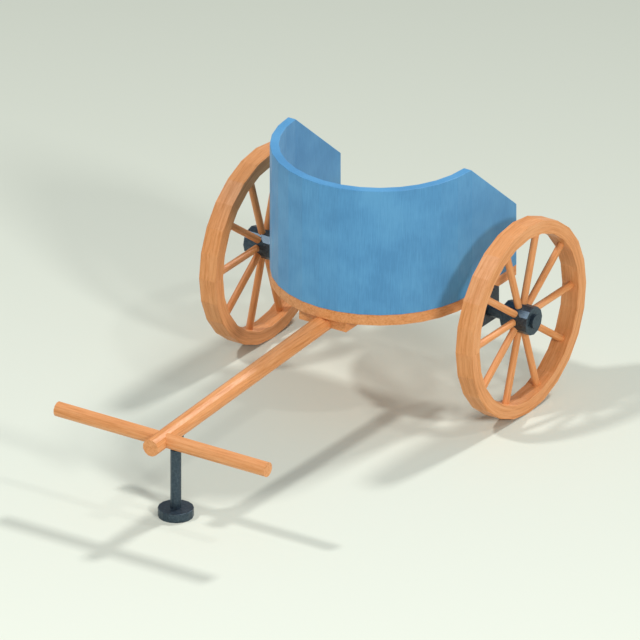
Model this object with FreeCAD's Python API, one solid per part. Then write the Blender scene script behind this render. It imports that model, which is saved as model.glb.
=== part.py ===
import FreeCAD, Part
import math
import os

# A two-wheeled chariot, parked on its wheels and on the stand under its pole.
# X runs along the axle, +X to the driver's left; -Y is the way it is drawn; +Z is up.
# The origin is on the ground, under the middle of the whole length. All sizes are millimetres.

Vector = FreeCAD.Vector
ACROSS = Vector(1, 0, 0)
ALONG = Vector(0, 1, 0)
UP = Vector(0, 0, 1)

# Wheels: a bent rim with flats, turned spokes and a forged nave.
wheel_radius = 450.0
track = 1343.0
rim_sides = 24
rim_depth = 60.0
rim_width = 86.0
spoke_count = 10
spoke_radius = 16.0
spoke_rim_tenon = 22.0
spoke_nave_shoulder = 3.0
spoke_tenon_radius = 10.0
spoke_tenon_length = 18.0
nave_radius = 65.0
nave_length = 136.0

# Axle: a forged bar with turned journals, held in a bracket under each edge of the floor.
bar_sides = 12
axle_radius = 32.0
journal_radius = 24.0
journal_clearance = 0.05
nave_side_play = 1.0
axle_cap_length = 12.5
axle_cap_socket = 8.0
bracket_width = 78.0
bracket_length = 156.0
bracket_below_axle = 69.0
bracket_reach = 26.0
bracket_lip = 22.0

# Body: a floor with a round front, a bent front panel and two sloping side panels.
body_half_width = 480.0
body_front_behind_axle = -101.0
body_rear_behind_axle = 253.0
floor_above_axle = 53.0
floor_thickness = 50.0
panel_thickness = 40.0
panel_height = 600.0
side_rear_height = 294.0
front_facets = 16

# Pole, its two cheeks under the floor, and the yoke arms near its tip.
pole_reach = 1908.0
pole_radius = 40.0
pole_tip_height = 407.0
pole_heel_behind_axle = 60.0
cheek_front_ahead_of_axle = 553.0
cheek_length = 200.0
cheek_depth = 50.0
cheek_half_width = 123.0
yoke_ahead_of_axle = 1811.0
yoke_half_length = 550.0
yoke_radius = 34.0
yoke_tenon_radius = 16.0
yoke_tenon_gap = 8.0

# Stand: a post and foot that swing back about a pin in a saddle under the pole.
stand_ahead_of_axle = 1708.0
saddle_length = 50.0
saddle_width = 50.0
saddle_wrap = 12.0
ear_thickness = 12.0
ear_radius = 14.0
pin_below_pole = 30.0
pin_radius = 7.0
pin_head_radius = 10.0
pin_head_length = 3.0
pin_clearance = 0.05
tongue_thickness = 16.0
tongue_play = 0.5
tongue_radius = 13.0
post_below_pin = 25.0
post_radius = 24.5
post_tenon = 15.0
foot_radius = 79.0
foot_height = 41.0
foot_sides = 16

# Places that follow from the sizes above.
axle_y = (pole_reach - wheel_radius) / 2
axle_z = wheel_radius
wheel_x = track / 2
nave_inner_x = wheel_x - nave_length / 2
nave_outer_x = wheel_x + nave_length / 2
floor_bottom = axle_z + floor_above_axle
floor_top = floor_bottom + floor_thickness
panel_top = floor_top + panel_height
front_y = axle_y + body_front_behind_axle
rear_y = axle_y + body_rear_behind_axle
tip_y = axle_y - pole_reach
heel_y = axle_y + pole_heel_behind_axle
cheek_y = axle_y - cheek_front_ahead_of_axle
yoke_y = axle_y - yoke_ahead_of_axle
stand_y = axle_y - stand_ahead_of_axle
pole_flat = pole_radius * math.cos(math.pi / bar_sides)
pole_heel_z = floor_bottom - pole_flat
pole_slope = (pole_heel_z - pole_tip_height) / (cheek_y - tip_y)
scribe_from = pole_flat / 2
half_facet = 180.0 / bar_sides


def pole_axis_z(y):
    """Height of the pole's centre line ahead of the cheeks, where it comes up to the floor."""
    return pole_tip_height + pole_slope * (y - tip_y)


pin_z = pole_axis_z(stand_y) - pole_flat - pin_below_pole


def box(low, high):
    """A box between two corners."""
    size = high - low
    return Part.makeBox(size.x, size.y, size.z, low)


def prism(points, run):
    """A solid swept in a straight line from a closed outline of flat points."""
    return Part.Face(Part.makePolygon(points + points[:1])).extrude(run)


def faceted_bar(start, run, across, up, radius, sides, first_corner):
    """A bar with flat sides; its corners lie on the radius, from first_corner degrees."""
    corners = []
    for index in range(sides):
        angle = math.radians(first_corner + 360.0 * index / sides)
        corners.append(start + across * (radius * math.cos(angle)) + up * (radius * math.sin(angle)))
    return prism(corners, run)


def bar_along_x(x_from, x_to, y, z, radius, sides=bar_sides, first_corner=0.0):
    start = Vector(x_from, y, z)
    return faceted_bar(start, ACROSS * (x_to - x_from), ALONG, UP, radius, sides, first_corner)


def round_bar(start, direction, length, radius):
    return Part.makeCylinder(radius, length, start, direction)


def spokes(x):
    """Ten turned spokes, each with a thinner tenon at the nave; one points straight back."""
    centre = Vector(x, axle_y, axle_z)
    body_from = nave_radius * math.cos(math.pi / bar_sides) - spoke_nave_shoulder
    body_to = (wheel_radius - rim_depth) + spoke_rim_tenon
    pieces = []
    for index in range(spoke_count):
        angle = 2 * math.pi * index / spoke_count
        direction = ALONG * math.cos(angle) + UP * math.sin(angle)
        body = round_bar(centre + direction * body_from, direction, body_to - body_from, spoke_radius)
        tenon_from = body_from - spoke_tenon_length
        tenon = round_bar(centre + direction * tenon_from, direction, spoke_tenon_length, spoke_tenon_radius)
        pieces.append(body.fuse(tenon).removeSplitter())
    return pieces


def rim(x, spoke_pieces):
    """A bent rim with flats inside and out; a corner stands on the ground."""
    low_x = x - rim_width / 2
    high_x = x + rim_width / 2
    outer = bar_along_x(low_x, high_x, axle_y, axle_z, wheel_radius, rim_sides)
    inner = bar_along_x(low_x, high_x, axle_y, axle_z, wheel_radius - rim_depth, rim_sides)
    return outer.cut(inner).cut(spoke_pieces)


def nave(x, spoke_pieces):
    """The wheel's forged centre, bored for the journal and socketed for the spokes."""
    low_x = x - nave_length / 2
    blank = bar_along_x(low_x, low_x + nave_length, axle_y, axle_z, nave_radius)
    bore = round_bar(Vector(low_x, axle_y, axle_z), ACROSS, nave_length, journal_radius + journal_clearance)
    return blank.cut(bore).cut(spoke_pieces)


def axle():
    """A bar between the naves, with a journal through each nave and into its cap."""
    shoulder = nave_inner_x - nave_side_play
    journal_end = nave_outer_x + nave_side_play + axle_cap_socket
    bar = bar_along_x(-shoulder, shoulder, axle_y, axle_z, axle_radius)
    journals = round_bar(Vector(-journal_end, axle_y, axle_z), ACROSS, 2 * journal_end, journal_radius)
    return bar.fuse(journals)


def axle_cap(side, axle_solid):
    """The cap that keeps a wheel on; its socket takes the end of the journal."""
    inner = side * (nave_outer_x + nave_side_play)
    return bar_along_x(inner, inner + side * axle_cap_length, axle_y, axle_z, axle_radius).cut(axle_solid)


def axle_bracket(side, axle_solid):
    """A block under the floor's edge with the axle through it and a lip up the edge."""
    outer_x = body_half_width + bracket_reach
    inner_x = outer_x - bracket_width
    low_z = axle_z - bracket_below_axle
    start_y = axle_y - bracket_length / 2
    outline = [(inner_x, low_z), (outer_x, low_z), (outer_x, floor_bottom + bracket_lip),
               (body_half_width, floor_bottom + bracket_lip), (body_half_width, floor_bottom),
               (inner_x, floor_bottom)]
    points = [Vector(side * x, start_y, z) for x, z in outline]
    return prism(points, ALONG * bracket_length).cut(axle_solid)


def front_outline(radius):
    """Corners of the round front, from the left side round to the right."""
    corners = []
    for index in range(front_facets + 1):
        angle = math.pi * index / front_facets
        corners.append((radius * math.cos(angle), front_y - radius * math.sin(angle)))
    return corners


def floor_deck():
    outline = front_outline(body_half_width) + [(-body_half_width, rear_y), (body_half_width, rear_y)]
    return prism([Vector(x, y, floor_bottom) for x, y in outline], UP * floor_thickness)


def front_panel():
    inner = front_outline(body_half_width - panel_thickness)
    outline = front_outline(body_half_width) + inner[::-1]
    return prism([Vector(x, y, floor_top) for x, y in outline], UP * panel_height)


def side_panel(side):
    """A straight panel whose top falls from the front panel's height to the rear edge."""
    x = side * (body_half_width - panel_thickness)
    profile = [(front_y, floor_top), (rear_y, floor_top), (rear_y, floor_top + side_rear_height),
               (front_y, panel_top)]
    return prism([Vector(x, y, z) for y, z in profile], ACROSS * (side * panel_thickness))


def pole_blank():
    """The pole: it rises to the floor and runs level under it, with flats up, down and to each side."""
    tip = Vector(0, tip_y, pole_tip_height)
    knee = Vector(0, cheek_y, pole_heel_z)
    heel = Vector(0, heel_y, pole_heel_z)
    front = faceted_bar(tip, knee - tip, ACROSS, UP, pole_radius, bar_sides, half_facet)
    back = faceted_bar(knee, heel - knee, ACROSS, UP, pole_radius, bar_sides, half_facet)
    return front.fuse(back).removeSplitter()


def pole_cheek(side, blank):
    """One of two blocks under the floor that hold the pole between them."""
    low_x, high_x = sorted([0.0, side * cheek_half_width])
    block = box(Vector(low_x, cheek_y, floor_bottom - cheek_depth),
                Vector(high_x, cheek_y + cheek_length, floor_bottom))
    pieces = block.cut(blank).Solids
    return max(pieces, key=lambda piece: piece.Volume)


def yoke_arm(side, blank):
    """One arm, scribed to the pole, with a round tenon let into it."""
    z = pole_axis_z(yoke_y)
    bar = bar_along_x(side * scribe_from, side * yoke_half_length, yoke_y, z, yoke_radius,
                      first_corner=half_facet)
    arm = max(bar.cut(blank).Solids, key=lambda piece: piece.Volume)
    tenon_from = Vector(side * yoke_tenon_gap / 2, yoke_y, z)
    tenon = round_bar(tenon_from, ACROSS * side, pole_radius, yoke_tenon_radius)
    return arm.fuse(tenon).removeSplitter()


def eye(x_from, x_to, radius, top):
    """A plate that hangs from top, or stands up from it, and is rounded about the pin."""
    width = x_to - x_from
    disc = round_bar(Vector(x_from, stand_y, pin_z), ACROSS, width, radius)
    low_z, high_z = sorted([pin_z, top])
    plate = box(Vector(x_from, stand_y - radius, low_z), Vector(x_to, stand_y + radius, high_z))
    return disc.fuse(plate)


def stand_pin():
    """The pin, with a flat head outside each ear."""
    half = saddle_width / 2
    origin = Vector(-half - pin_head_length, stand_y, pin_z)
    shank = round_bar(origin, ACROSS, 2 * (half + pin_head_length), pin_radius)
    left_head = round_bar(Vector(half, stand_y, pin_z), ACROSS, pin_head_length, pin_head_radius)
    right_head = round_bar(origin, ACROSS, pin_head_length, pin_head_radius)
    return shank.fuse([left_head, right_head]).removeSplitter()


def stand_saddle(blank, pin):
    """A forged saddle under the pole with two ears for the stand's pin."""
    half_width = saddle_width / 2
    underside = pole_axis_z(stand_y) - pole_flat
    ear_top = pin_z + ear_radius + tongue_play
    seat = box(Vector(-half_width, stand_y - saddle_length / 2, ear_top),
               Vector(half_width, stand_y + saddle_length / 2, underside + saddle_wrap))
    left_ear = eye(half_width - ear_thickness, half_width, ear_radius, ear_top)
    right_ear = eye(-half_width, -half_width + ear_thickness, ear_radius, ear_top)
    return seat.fuse([left_ear, right_ear]).cut([blank, pin]).removeSplitter()


def stand_post():
    """The post: a faceted bar under a tongue that turns on the pin, tenoned into the foot."""
    shoulder = pin_z - post_below_pin
    start = Vector(0, stand_y, foot_height - post_tenon)
    run = UP * (shoulder - start.z)
    bar = faceted_bar(start, run, ACROSS, ALONG, post_radius, bar_sides, half_facet)
    tongue = eye(-tongue_thickness / 2, tongue_thickness / 2, tongue_radius, shoulder)
    hole = round_bar(Vector(-tongue_thickness, stand_y, pin_z), ACROSS, 2 * tongue_thickness,
                     pin_radius + pin_clearance)
    return bar.fuse(tongue).cut(hole).removeSplitter()


def stand_foot(post):
    start = Vector(0, stand_y, 0)
    half_turn = 180.0 / foot_sides
    disc = faceted_bar(start, UP * foot_height, ACROSS, ALONG, foot_radius, foot_sides, half_turn)
    return disc.cut(post)


def build():
    """Every node's shape by name."""
    sides = {"left": 1, "right": -1}
    axle_solid = axle()
    blank = pole_blank()
    arms = {name: yoke_arm(side, blank) for name, side in sides.items()}
    pin = stand_pin()
    post = stand_post()
    nodes = {
        "floor_deck": floor_deck(),
        "front_panel": front_panel(),
        "axle": axle_solid,
        "axle_caps": Part.makeCompound([axle_cap(side, axle_solid) for side in sides.values()]),
        "pole": blank.cut([axle_solid] + list(arms.values())),
        "pole_cheeks": Part.makeCompound([pole_cheek(side, blank) for side in sides.values()]),
        "stand_saddle": stand_saddle(blank, pin),
        "stand_pin": pin,
        "stand_post": post,
        "stand_foot": stand_foot(post),
    }
    for name, side in sides.items():
        wheel_spokes = spokes(side * wheel_x)
        nodes[name + "_side_panel"] = side_panel(side)
        nodes[name + "_axle_bracket"] = axle_bracket(side, axle_solid)
        nodes[name + "_yoke_arm"] = arms[name]
        nodes[name + "_wheel_rim"] = rim(side * wheel_x, wheel_spokes)
        nodes[name + "_wheel_spokes"] = Part.makeCompound(wheel_spokes)
        nodes[name + "_wheel_nave"] = nave(side * wheel_x, wheel_spokes)
    return nodes


os.makedirs("parts", exist_ok=True)
for node_name, shape in build().items():
    shape.exportStep("parts/" + node_name + ".step")
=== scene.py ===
import math

import bmesh
import bpy
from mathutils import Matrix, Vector


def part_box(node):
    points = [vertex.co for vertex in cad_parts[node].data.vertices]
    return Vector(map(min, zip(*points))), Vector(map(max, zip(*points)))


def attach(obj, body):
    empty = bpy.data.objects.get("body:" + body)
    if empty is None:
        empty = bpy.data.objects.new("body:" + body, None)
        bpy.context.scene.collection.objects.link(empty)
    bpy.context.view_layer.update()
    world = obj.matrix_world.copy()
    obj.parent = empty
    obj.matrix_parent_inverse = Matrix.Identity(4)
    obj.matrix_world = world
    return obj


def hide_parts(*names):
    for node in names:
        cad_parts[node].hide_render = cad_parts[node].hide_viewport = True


bl_info = {
    "name": "Chariot",
    "version": (1, 0, 0),
    "blender": (4, 5, 0),
    "location": "View3D > Sidebar > Chariot",
    "description": "Finishes a two-wheeled chariot: its wood, paint, ironwork and floor boards",
    "category": "Object",
}

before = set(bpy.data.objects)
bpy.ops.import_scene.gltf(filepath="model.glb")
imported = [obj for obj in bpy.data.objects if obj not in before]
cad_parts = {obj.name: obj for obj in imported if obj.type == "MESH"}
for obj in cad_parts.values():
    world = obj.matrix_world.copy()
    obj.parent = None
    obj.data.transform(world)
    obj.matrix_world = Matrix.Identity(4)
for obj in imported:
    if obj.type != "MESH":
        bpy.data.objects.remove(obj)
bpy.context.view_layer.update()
MM = 0.001

# Places that the imported model gives: the axle and the floor.
RIM_LOW, RIM_HIGH = (Vector(corner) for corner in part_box("left_wheel_rim"))
WHEEL_CENTRE = (RIM_LOW + RIM_HIGH) / 2
WHEEL_RADIUS = (RIM_HIGH.z - RIM_LOW.z) / 2
FLOOR_LOW, FLOOR_HIGH = (Vector(corner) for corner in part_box("floor_deck"))

WOOD_STRAIGHT_Y = ("pole", "pole_cheeks")
WOOD_STRAIGHT_X = ("left_yoke_arm", "right_yoke_arm")
PAINTED = ("front_panel", "left_side_panel", "right_side_panel")
FORGED = ("axle", "axle_caps", "left_axle_bracket", "right_axle_bracket", "left_wheel_nave",
          "right_wheel_nave", "stand_saddle", "stand_pin", "stand_post", "stand_foot")
SPOKES = 10
FRONT_FACETS = 16

# Rounded edges: the width in mm, and the least turn in degrees that counts as an edge.
SAWN_EDGE = (1.5, 35)
RIM_EDGE = (2.0, 60)
PANEL_EDGE = (2.0, 35)
IRON_EDGE = (1.2, 25)
FRAME_EDGE = (1.5, 60)
BOARD_EDGE = (2.0, 50)

# How rough each finish is, at the low end and the high end of its pattern.
WOOD_ROUGHNESS = (0.52, 0.42)
PAINT_ROUGHNESS = (0.50, 0.40)
IRON_ROUGHNESS = (0.34, 0.46)
PORE_EDGE = (0.56, 0.70)

# The camera has no perspective. Its width and its aim, right of and above the floor under the
# axle, are in wheel radii.
CAMERA_TURN = math.radians(33.61)
CAMERA_TILT = math.radians(25.87)
CAMERA_DISTANCE = 8.0
VIEW_WIDTH = 6.2016
AIM_RIGHT = -0.704
AIM_UP = 0.5147

# Each lamp's name, the way towards it, its strength and its spread in degrees.
LAMPS = (
    ("front_left_lamp", (-0.40, -0.42, 0.815), 1.15, 5.0),
    ("rear_lamp", (0.122, 0.65, 0.75), 1.5, 7.0),
    ("right_lamp", (0.81, -0.38, 0.44), 1.2, 9.0),
    ("high_right_lamp", (0.564, 0.037, 0.825), 0.25, 4.0),
)
LAMP_DISTANCE = 4
AMBIENT_COLOUR = "dfe6ea"
AMBIENT_STRENGTH = 0.42
STAGE_HALF_WIDTH = 60.0
# The floor's colour is painted light. It is darker towards -X and +Y and lighter towards +X and -Y,
# standing in for the lamps' falloff.
STAGE_PAINTED_FALLOFF_COLOURS = [(0.0, "b4b8ac"), (0.5, "d8dccf"), (1.0, "eef2e4")]
STAGE_PAINTED_FALLOFF_X = 0.05
STAGE_PAINTED_FALLOFF_Y = -0.085


def linear(code):
    """A linear colour from an sRGB hex code."""
    parts = [int(code[place:place + 2], 16) / 255 for place in (0, 2, 4)]
    curve = (part / 12.92 if part <= 0.04045 else ((part + 0.055) / 1.055) ** 2.4
             for part in parts)
    return (*curve, 1.0)


def add(tree, kind, values=None, **settings):
    """One node with its settings; values maps an input's name or number to a value or a socket."""
    node = tree.nodes.new(kind)
    for name, value in settings.items():
        setattr(node, name, value)
    for key, value in (values or {}).items():
        if isinstance(value, bpy.types.NodeSocket):
            tree.links.new(value, node.inputs[key])
        else:
            node.inputs[key].default_value = value
    return node


def maths(tree, operation, first, second=0.0):
    return add(tree, "ShaderNodeMath", {0: first, 1: second}, operation=operation).outputs[0]


def spread(tree, value, from_range, to_range):
    """Carries a value from one range to another, held at both ends."""
    return add(tree, "ShaderNodeMapRange", {
        "Value": value, "From Min": from_range[0], "From Max": from_range[1],
        "To Min": to_range[0], "To Max": to_range[1]}).outputs[0]


def blank_material(name):
    """A new material with only a Principled shader and its output."""
    material = bpy.data.materials.new(name)
    material.use_nodes = True
    tree = material.node_tree
    tree.nodes.clear()
    output = add(tree, "ShaderNodeOutputMaterial")
    shader = add(tree, "ShaderNodeBsdfPrincipled")
    tree.links.new(shader.outputs[0], output.inputs[0])
    return material, tree, shader


def ramp(tree, factor, stops):
    """A colour ramp through (place, sRGB code) stops."""
    node = add(tree, "ShaderNodeValToRGB", {0: factor})
    elements = node.color_ramp.elements
    while len(elements) < len(stops):
        elements.new(0.5)
    for element, (place, code) in zip(elements, stops):
        element.position = place
        element.color = linear(code)
    return node.outputs[0]


def object_axes(tree):
    """The piece's own coordinates, in metres, as three sockets."""
    place = add(tree, "ShaderNodeTexCoord").outputs["Object"]
    split = add(tree, "ShaderNodeSeparateXYZ", {0: place})
    return split.outputs[0], split.outputs[1], split.outputs[2]


def joined(tree, x, y, z):
    return add(tree, "ShaderNodeCombineXYZ", {0: x, 1: y, 2: z}).outputs[0]


def round_wheel(tree):
    """Distance from the axle, angle about it and place along it."""
    x, y, z = object_axes(tree)
    forward = maths(tree, "SUBTRACT", y, WHEEL_CENTRE.y)
    above = maths(tree, "SUBTRACT", z, WHEEL_CENTRE.z)
    angle = maths(tree, "ARCTAN2", above, forward)
    forward_square = maths(tree, "MULTIPLY", forward, forward)
    above_square = maths(tree, "MULTIPLY", above, above)
    distance = maths(tree, "SQRT", maths(tree, "ADD", forward_square, above_square))
    return distance, angle, x


def grain_straight(tree, along):
    """Grain that runs along X or along Y."""
    x, y, z = object_axes(tree)
    return joined(tree, y, z, x) if along == "X" else joined(tree, x, z, y)


def grain_bent(tree):
    """Grain that follows a bent rim round the axle."""
    distance, angle, x = round_wheel(tree)
    return joined(tree, distance, x, maths(tree, "MULTIPLY", angle, WHEEL_RADIUS))


def grain_radial(tree):
    """Grain that runs out along each spoke, with a shift so that no two spokes match."""
    distance, angle, x = round_wheel(tree)
    step = 2 * math.pi / SPOKES
    number = maths(tree, "ROUND", maths(tree, "DIVIDE", angle, step))
    local = maths(tree, "SUBTRACT", angle, maths(tree, "MULTIPLY", number, step))
    sideways = maths(tree, "MULTIPLY", distance, maths(tree, "SINE", local))
    shifted = maths(tree, "ADD", distance, maths(tree, "MULTIPLY", number, 1.7))
    return joined(tree, sideways, x, shifted)


def ash_wood(name, grain_of, settings):
    """Oiled ash: warm tan with long open grain, fine dark pores and a low sheen."""
    material, tree, shader = blank_material(name)
    grain = grain_of(tree)
    ring_scale = 1 / (settings.ring_mm * MM)
    pore_scale = 1 / (settings.pore_mm * MM)
    stretched = add(tree, "ShaderNodeMapping", {0: grain, "Scale": (1, 1, settings.stretch)}).outputs[0]
    sway = add(tree, "ShaderNodeTexNoise", {
        "Vector": stretched, "Scale": ring_scale * 0.35, "Detail": 3.0, "Roughness": 0.5})
    rings = add(tree, "ShaderNodeTexNoise", {
        "Vector": stretched, "Scale": ring_scale, "Detail": 5.0, "Roughness": 0.62,
        "Distortion": 0.4})
    pores = add(tree, "ShaderNodeTexNoise", {
        "Vector": stretched, "Scale": pore_scale, "Detail": 2.0})
    dark_pores = spread(tree, pores.outputs[0], PORE_EDGE, (0.0, 1.0))
    tone = maths(tree, "ADD", maths(tree, "MULTIPLY", rings.outputs[0], 0.7),
                 maths(tree, "MULTIPLY", sway.outputs[0], 0.3))
    colour = ramp(tree, tone, [(0.36, "cd8243"), (0.48, "e0965a"), (0.62, "eaa66d")])
    pored = add(tree, "ShaderNodeMixRGB", {
        "Fac": maths(tree, "MULTIPLY", dark_pores, 0.30), "Color1": colour,
        "Color2": linear("a9642f")}).outputs[0]
    tree.links.new(pored, shader.inputs["Base Color"])
    rough = spread(tree, tone, (0.35, 0.65), WOOD_ROUGHNESS)
    tree.links.new(rough, shader.inputs["Roughness"])
    height = maths(tree, "SUBTRACT", maths(tree, "MULTIPLY", tone, 0.4), dark_pores)
    bump = add(tree, "ShaderNodeBump", {
        "Height": height, "Distance": settings.relief_mm * MM, "Strength": 0.6})
    tree.links.new(bump.outputs[0], shader.inputs["Normal"])
    return material


def painted_panel(settings):
    """Blue oil paint brushed upright on bent boards: slight streaks and a soft sheen."""
    material, tree, shader = blank_material("blue_oil_paint_on_wood")
    x, y, z = object_axes(tree)
    upright = joined(tree, x, y, maths(tree, "MULTIPLY", z, 0.06))
    streaks = add(tree, "ShaderNodeTexNoise", {
        "Vector": upright, "Scale": 1 / (settings.streak_mm * MM), "Detail": 4.0,
        "Roughness": 0.6})
    patches = add(tree, "ShaderNodeTexNoise", {
        "Vector": joined(tree, x, y, z), "Scale": 1 / (settings.patch_mm * MM), "Detail": 3.0})
    tone = maths(tree, "ADD", maths(tree, "MULTIPLY", streaks.outputs[0], 0.45),
                 maths(tree, "MULTIPLY", patches.outputs[0], 0.55))
    colour = ramp(tree, tone, [(0.38, "4a8cbd"), (0.5, "5296c7"), (0.62, "5b9fce")])
    tree.links.new(colour, shader.inputs["Base Color"])
    rough = spread(tree, tone, (0.38, 0.62), PAINT_ROUGHNESS)
    tree.links.new(rough, shader.inputs["Roughness"])
    bump = add(tree, "ShaderNodeBump", {
        "Height": streaks.outputs[0], "Distance": settings.relief_mm * MM, "Strength": 0.5})
    tree.links.new(bump.outputs[0], shader.inputs["Normal"])
    return material


def forged_iron(settings):
    """Blued forged iron: dark slate, hammer marked, with a shine on flats that face the light."""
    material, tree, shader = blank_material("blued_forged_iron")
    place = joined(tree, *object_axes(tree))
    scale_marks = add(tree, "ShaderNodeTexNoise", {
        "Vector": place, "Scale": 1 / (settings.scale_mm * MM), "Detail": 6.0,
        "Roughness": 0.65})
    hammer = add(tree, "ShaderNodeTexVoronoi", {
        "Vector": place, "Scale": 1 / (settings.hammer_mm * MM)}, feature="SMOOTH_F1")
    colour = ramp(tree, scale_marks.outputs[0], [(0.35, "3b4752"), (0.5, "475561"), (0.66, "56656f")])
    tree.links.new(colour, shader.inputs["Base Color"])
    shader.inputs["Metallic"].default_value = 0.85
    rough = spread(tree, scale_marks.outputs[0], (0.35, 0.65), IRON_ROUGHNESS)
    tree.links.new(rough, shader.inputs["Roughness"])
    scale_height = maths(tree, "MULTIPLY", scale_marks.outputs[0], 0.3)
    height = maths(tree, "ADD", hammer.outputs[0], scale_height)
    bump = add(tree, "ShaderNodeBump", {
        "Height": height, "Distance": settings.relief_mm * MM, "Strength": 0.35})
    tree.links.new(bump.outputs[0], shader.inputs["Normal"])
    return material


def cover(node_name, material):
    """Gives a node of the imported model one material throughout."""
    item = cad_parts[node_name]
    if not item.material_slots:
        item.data.materials.append(material)
    for place in item.material_slots:
        place.material = material
    return item


def soften(item, width_mm, least_degrees):
    """Rounds the edges that turn by more than least_degrees; the mesh itself stays as packed."""
    weld = item.modifiers.new("join_faces", "WELD")
    weld.merge_threshold = 0.00002
    bevel = item.modifiers.new("soft_edges", "BEVEL")
    bevel.width = width_mm * MM
    bevel.segments = 2
    bevel.limit_method = "ANGLE"
    bevel.angle_limit = math.radians(least_degrees)
    bevel.use_clamp_overlap = True


def mesh_piece(name, mesh, body, material):
    """A finished piece: its mesh in the row's frame, riding on a body."""
    mesh.materials.append(material)
    item = bpy.data.objects.new(name, mesh)
    bpy.context.scene.collection.objects.link(item)
    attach(item, body)
    return item


def front_corners(radius, centre_y):
    """The faceted round of the floor's front, from +X round to -X."""
    corners = []
    for index in range(FRONT_FACETS + 1):
        angle = math.pi * index / FRONT_FACETS
        corners.append(Vector((radius * math.cos(angle), centre_y - radius * math.sin(angle), 0)))
    return corners


def front_edge(curve, x):
    """Where the faceted front crosses that x."""
    for first, second in zip(curve, curve[1:]):
        if second.x <= x <= first.x:
            share = (first.x - x) / (first.x - second.x)
            return first.y + share * (second.y - first.y)
    return curve[0].y


def slab(shape, outline, low, high):
    """Adds a closed slab of that outline to the bmesh."""
    bottom = [shape.verts.new((corner.x, corner.y, low)) for corner in outline]
    top = [shape.verts.new((corner.x, corner.y, high)) for corner in outline]
    shape.faces.new(bottom)
    shape.faces.new(top)
    count = len(outline)
    for index in range(count):
        following = (index + 1) % count
        shape.faces.new((bottom[index], bottom[following], top[following], top[index]))


def round_edges(shape, width_mm, least_degrees):
    """Bevels the edges of a bmesh that turn by more than least_degrees."""
    bmesh.ops.recalc_face_normals(shape, faces=shape.faces)
    sharp = [edge for edge in shape.edges
             if len(edge.link_faces) == 2 and edge.calc_face_angle() > math.radians(least_degrees)]
    bmesh.ops.bevel(shape, geom=sharp, offset=width_mm * MM, segments=2, affect="EDGES",
                    clamp_overlap=True)


def finished_mesh(name, shape):
    mesh = bpy.data.meshes.new(name)
    bmesh.ops.recalc_face_normals(shape, faces=shape.faces)
    shape.to_mesh(mesh)
    shape.free()
    return mesh


class ChariotWood(bpy.types.PropertyGroup):
    ring_mm: bpy.props.FloatProperty(
        name="Ring width",
        description="Width of the light and dark grain, mm",
        default=9.0, min=1.0)
    pore_mm: bpy.props.FloatProperty(
        name="Pore width",
        description="Width of the fine dark pores, mm",
        default=1.4, min=0.2)
    stretch: bpy.props.FloatProperty(
        name="Stretch",
        description="How long the grain is drawn out",
        default=0.045, min=0.001)
    relief_mm: bpy.props.FloatProperty(
        name="Relief",
        description="Depth of the grain, mm",
        default=0.35, min=0.0)


class ChariotPaint(bpy.types.PropertyGroup):
    streak_mm: bpy.props.FloatProperty(
        name="Streak width",
        description="Width of the brush streaks, mm",
        default=4.0, min=0.2)
    patch_mm: bpy.props.FloatProperty(
        name="Patch size",
        description="Size of thicker and thinner paint, mm",
        default=160.0, min=1.0)
    relief_mm: bpy.props.FloatProperty(
        name="Relief",
        description="Depth of the brush marks, mm",
        default=0.25, min=0.0)


class ChariotIron(bpy.types.PropertyGroup):
    scale_mm: bpy.props.FloatProperty(
        name="Scale size",
        description="Size of the forge scale's patches, mm",
        default=11.0, min=0.5)
    hammer_mm: bpy.props.FloatProperty(
        name="Hammer marks",
        description="Size of one hammer mark, mm",
        default=16.0, min=1.0)
    relief_mm: bpy.props.FloatProperty(
        name="Relief",
        description="Depth of the marks, mm",
        default=0.5, min=0.0)


class ChariotFloor(bpy.types.PropertyGroup):
    board_mm: bpy.props.FloatProperty(
        name="Board width",
        description="Width of one floor board, mm",
        default=109.0, min=20.0)
    frame_mm: bpy.props.FloatProperty(
        name="Frame width",
        description="Width of the bent frame round the boards, mm",
        default=44.0, min=10.0)
    recess_mm: bpy.props.FloatProperty(
        name="Recess",
        description="How far the boards lie below the frame, mm",
        default=3.0, min=0.0)
    groove_mm: bpy.props.FloatProperty(
        name="Groove",
        description="Gap between two boards, mm",
        default=1.5, min=0.0)


class CHARIOT_OT_wood(bpy.types.Operator):
    """Gives the pole, cheeks, yoke arms, rims and spokes their ash wood"""
    bl_idname = "chariot.wood"
    bl_label = "Wood"

    def execute(self, context):
        settings = context.scene.chariot_wood
        along_pole = ash_wood("ash_wood_along_pole", lambda tree: grain_straight(tree, "Y"), settings)
        along_yoke = ash_wood("ash_wood_along_yoke", lambda tree: grain_straight(tree, "X"), settings)
        bent = ash_wood("ash_wood_bent_rim", grain_bent, settings)
        turned = ash_wood("ash_wood_turned_spokes", grain_radial, settings)
        for name in WOOD_STRAIGHT_Y:
            soften(cover(name, along_pole), *SAWN_EDGE)
        for name in WOOD_STRAIGHT_X:
            soften(cover(name, along_yoke), *SAWN_EDGE)
        for side in ("left", "right"):
            soften(cover(side + "_wheel_rim", bent), *RIM_EDGE)
            cover(side + "_wheel_spokes", turned)
        return {"FINISHED"}


class CHARIOT_OT_paint(bpy.types.Operator):
    """Gives the front and side panels their blue paint"""
    bl_idname = "chariot.paint"
    bl_label = "Paint"

    def execute(self, context):
        paint = painted_panel(context.scene.chariot_paint)
        for name in PAINTED:
            soften(cover(name, paint), *PANEL_EDGE)
        return {"FINISHED"}


class CHARIOT_OT_iron(bpy.types.Operator):
    """Gives the axle, naves, brackets and stand their forged iron"""
    bl_idname = "chariot.iron"
    bl_label = "Ironwork"

    def execute(self, context):
        iron = forged_iron(context.scene.chariot_iron)
        for name in FORGED:
            soften(cover(name, iron), *IRON_EDGE)
        return {"FINISHED"}


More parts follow.
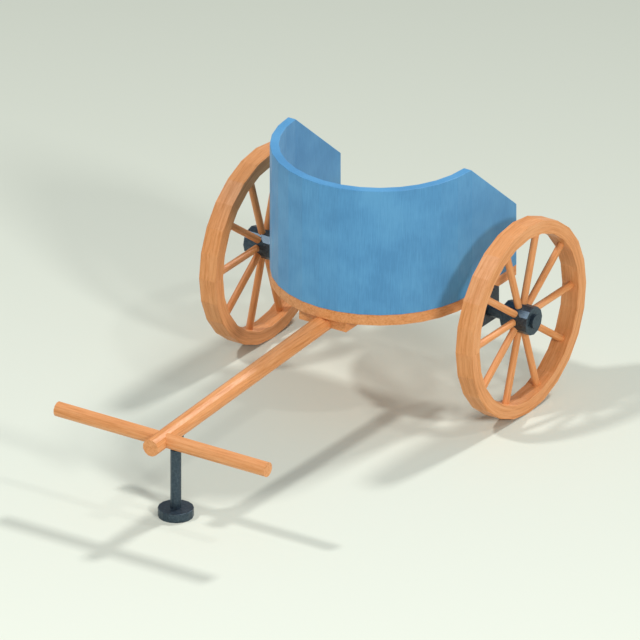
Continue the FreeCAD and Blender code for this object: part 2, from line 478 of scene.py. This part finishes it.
class CHARIOT_OT_floor(bpy.types.Operator):
    """Builds the floor: a bent frame with boards let into it"""
    bl_idname = "chariot.floor"
    bl_label = "Floor"

    def execute(self, context):
        settings = context.scene.chariot_floor
        wood = context.scene.chariot_wood
        radius = FLOOR_HIGH.x
        centre_y = FLOOR_LOW.y + radius
        inner = radius - settings.frame_mm * MM
        rear = FLOOR_HIGH.y
        shape = bmesh.new()
        outer_line, inner_line = (
            [Vector((reach, rear, 0))] + front_corners(reach, centre_y) + [Vector((-reach, rear, 0))]
            for reach in (radius, inner))
        rings = []
        for height in (FLOOR_LOW.z, FLOOR_HIGH.z):
            rings.append([[shape.verts.new((corner.x, corner.y, height)) for corner in line]
                          for line in (outer_line, inner_line)])
        (low_out, low_in), (high_out, high_in) = rings
        for index in range(len(outer_line) - 1):
            following = index + 1
            shape.faces.new((low_out[index], low_out[following], high_out[following], high_out[index]))
            shape.faces.new((low_in[index], high_in[index], high_in[following], low_in[following]))
            shape.faces.new((high_out[index], high_out[following], high_in[following], high_in[index]))
            shape.faces.new((low_out[index], low_in[index], low_in[following], low_out[following]))
        for index in (0, -1):
            shape.faces.new((low_out[index], high_out[index], high_in[index], low_in[index]))
        round_edges(shape, *FRAME_EDGE)
        bent = ash_wood("ash_wood_bent_frame", lambda tree: grain_straight(tree, "Y"), wood)
        frame_mesh = finished_mesh("floor_frame", shape)
        ring = mesh_piece("floor_frame", frame_mesh, "chassis", bent)

        shape = bmesh.new()
        count = round(2 * inner / (settings.board_mm * MM))
        pitch = 2 * inner / count
        half_groove = settings.groove_mm * MM / 2
        recess = settings.recess_mm * MM
        curve = front_corners(inner - 0.0002, centre_y)
        for index in range(count):
            from_x = -inner + index * pitch + half_groove
            to_x = -inner + (index + 1) * pitch - half_groove
            stops = sorted({from_x, to_x} | {corner.x for corner in curve if from_x < corner.x < to_x})
            edge = [Vector((x, front_edge(curve, x), 0)) for x in stops]
            outline = edge + [Vector((to_x, rear, 0)), Vector((from_x, rear, 0))]
            slab(shape, outline, FLOOR_LOW.z + recess, FLOOR_HIGH.z - recess)
        round_edges(shape, *BOARD_EDGE)
        boards_wood = ash_wood("ash_wood_floor_boards", lambda tree: grain_straight(tree, "Y"), wood)
        boards_mesh = finished_mesh("floor_boards", shape)
        boards = mesh_piece("floor_boards", boards_mesh, "chassis", boards_wood)
        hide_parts("floor_deck")
        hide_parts("floor_deck")
        return {"FINISHED"}


class CHARIOT_OT_stage(bpy.types.Operator):
    """Lays the pale floor, with painted light falloff in its colour, and sets the lamps and the camera"""
    bl_idname = "chariot.stage"
    bl_label = "Stage"

    def execute(self, context):
        # The floor's colour gradient is painted light, standing in for the lamps' falloff across the
        # floor.
        material, tree, shader = blank_material("pale_studio_floor_painted_falloff")
        x, y, z = object_axes(tree)
        along_x = maths(tree, "MULTIPLY", x, STAGE_PAINTED_FALLOFF_X)
        along_y = maths(tree, "MULTIPLY", y, STAGE_PAINTED_FALLOFF_Y)
        painted_falloff = maths(tree, "ADD", maths(tree, "ADD", along_x, along_y), 0.5)
        colour = ramp(tree, painted_falloff, STAGE_PAINTED_FALLOFF_COLOURS)
        tree.links.new(colour, shader.inputs["Base Color"])
        shader.inputs["Roughness"].default_value = 0.9
        shader.inputs["Specular IOR Level"].default_value = 0.1
        shape = bmesh.new()
        bmesh.ops.create_grid(shape, x_segments=1, y_segments=1, size=STAGE_HALF_WIDTH)
        mesh = finished_mesh("studio_floor", shape)
        mesh.materials.append(material)
        ground = bpy.data.objects.new("studio_floor", mesh)
        context.scene.collection.objects.link(ground)

        for name, towards, strength, spread_degrees in LAMPS:
            lamp = bpy.data.lights.new(name, "SUN")
            lamp.energy = strength
            lamp.angle = math.radians(spread_degrees)
            holder = bpy.data.objects.new(name, lamp)
            holder.rotation_euler = Vector(towards).to_track_quat("Z", "Y").to_euler()
            holder.location = Vector(towards) * LAMP_DISTANCE
            context.scene.collection.objects.link(holder)

        world = bpy.data.worlds.new("pale_room")
        world.use_nodes = True
        background = world.node_tree.nodes["Background"]
        background.inputs[0].default_value = linear(AMBIENT_COLOUR)
        background.inputs[1].default_value = AMBIENT_STRENGTH
        context.scene.world = world

        camera = bpy.data.cameras.new("camera")
        camera.type = "ORTHO"
        camera.ortho_scale = VIEW_WIDTH * WHEEL_RADIUS
        holder = bpy.data.objects.new("camera", camera)
        turn, tilt = CAMERA_TURN, CAMERA_TILT
        right = Vector((math.cos(turn), math.sin(turn), 0))
        up = Vector((-math.sin(turn) * math.sin(tilt), math.cos(turn) * math.sin(tilt),
                     math.cos(tilt)))
        back = right.cross(up)
        below_axle = Vector((0, WHEEL_CENTRE.y, 0))
        aim = below_axle + (right * AIM_RIGHT + up * AIM_UP) * WHEEL_RADIUS
        holder.location = aim + back * CAMERA_DISTANCE
        holder.rotation_euler = (math.pi / 2 - tilt, 0, turn)
        context.scene.collection.objects.link(holder)
        context.scene.camera = holder
        context.scene.view_settings.view_transform = "Standard"
        return {"FINISHED"}


class CHARIOT_PT_panel(bpy.types.Panel):
    """The chariot's settings and steps"""
    bl_idname = "CHARIOT_PT_panel"
    bl_label = "Chariot"
    bl_space_type = "VIEW_3D"
    bl_region_type = "UI"
    bl_category = "Chariot"

    def draw(self, context):
        groups = ((context.scene.chariot_wood, ("ring_mm", "pore_mm", "stretch", "relief_mm")),
                  (context.scene.chariot_paint, ("streak_mm", "patch_mm", "relief_mm")),
                  (context.scene.chariot_iron, ("scale_mm", "hammer_mm", "relief_mm")),
                  (context.scene.chariot_floor, ("board_mm", "frame_mm", "recess_mm", "groove_mm")))
        for settings, names in groups:
            box = self.layout.box()
            for name in names:
                box.prop(settings, name)
        for step in STEPS:
            self.layout.operator(step.bl_idname)


SETTINGS = (("chariot_wood", ChariotWood), ("chariot_paint", ChariotPaint), ("chariot_iron", ChariotIron),
            ("chariot_floor", ChariotFloor))
STEPS = (CHARIOT_OT_stage, CHARIOT_OT_wood, CHARIOT_OT_paint, CHARIOT_OT_iron, CHARIOT_OT_floor)


def register():
    for name, group in SETTINGS:
        bpy.utils.register_class(group)
        setattr(bpy.types.Scene, name, bpy.props.PointerProperty(type=group))
    for step in STEPS:
        bpy.utils.register_class(step)
    bpy.utils.register_class(CHARIOT_PT_panel)


def unregister():
    bpy.utils.unregister_class(CHARIOT_PT_panel)
    for step in reversed(STEPS):
        bpy.utils.unregister_class(step)
    for name, group in reversed(SETTINGS):
        delattr(bpy.types.Scene, name)
        bpy.utils.unregister_class(group)


def main():
    register()
    bpy.ops.chariot.stage()
    bpy.ops.chariot.wood()
    bpy.ops.chariot.paint()
    bpy.ops.chariot.iron()
    bpy.ops.chariot.floor()


if __name__ == "__main__":
    main()
